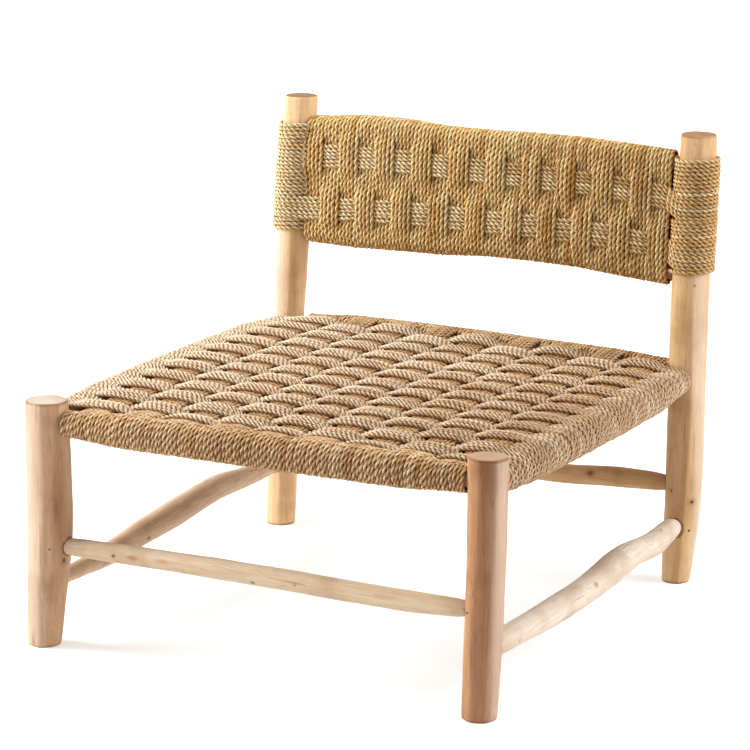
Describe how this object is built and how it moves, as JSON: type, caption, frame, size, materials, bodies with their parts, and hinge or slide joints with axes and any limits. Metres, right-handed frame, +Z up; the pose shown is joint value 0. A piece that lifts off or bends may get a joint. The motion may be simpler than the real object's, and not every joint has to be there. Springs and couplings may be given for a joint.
{
  "type": "low lounge chair",
  "caption": "Low armless lounge chair of peeled branches with a woven rope seat and a woven rope back band between its raked rear posts.",
  "frame": {"origin": "on the floor under the middle of the chair's bounding box", "axes": "+Z up, +Y to the rear of the chair, +X to the right as seen from the front"},
  "size_m": [0.6366, 0.6958, 0.589],
  "materials": {
    "leg_wood": "peeled and lightly sanded pale branch wood, unvarnished",
    "rail_wood": "peeled branch wood, unvarnished, hidden under the rope",
    "stretcher_wood": "peeled crooked branch wood with small knots, unvarnished",
    "nail_steel": "dull dark steel",
    "warp_rope": "two-ply twisted seagrass or palm rope, golden brown",
    "weft_rope": "two-ply twisted seagrass or palm rope, pale straw",
    "back_rope": "two-ply twisted seagrass or palm rope, golden straw"
  },
  "bodies": {
    "root": {"front_left_leg": "leg_wood", "front_right_leg": "leg_wood", "rear_left_post": "leg_wood", "rear_right_post": "leg_wood", "front_seat_rail": "rail_wood", "rear_seat_rail": "rail_wood", "left_seat_rail": "rail_wood", "right_seat_rail": "rail_wood", "front_stretcher": "stretcher_wood", "rear_stretcher": "stretcher_wood", "left_stretcher": "stretcher_wood", "right_stretcher": "stretcher_wood", "back_top_rail": "rail_wood", "back_bottom_rail": "rail_wood", "stretcher_nails": "nail_steel", "seat_warp": "warp_rope", "seat_weft": "weft_rope", "front_rail_turns": "warp_rope", "rear_rail_turns": "warp_rope", "left_rail_turns": "weft_rope", "right_rail_turns": "weft_rope", "back_uprights": "back_rope", "back_upper_band": "back_rope", "back_lower_band": "back_rope", "left_post_wrap": "back_rope", "right_post_wrap": "back_rope"}
  },
  "joints": []
}
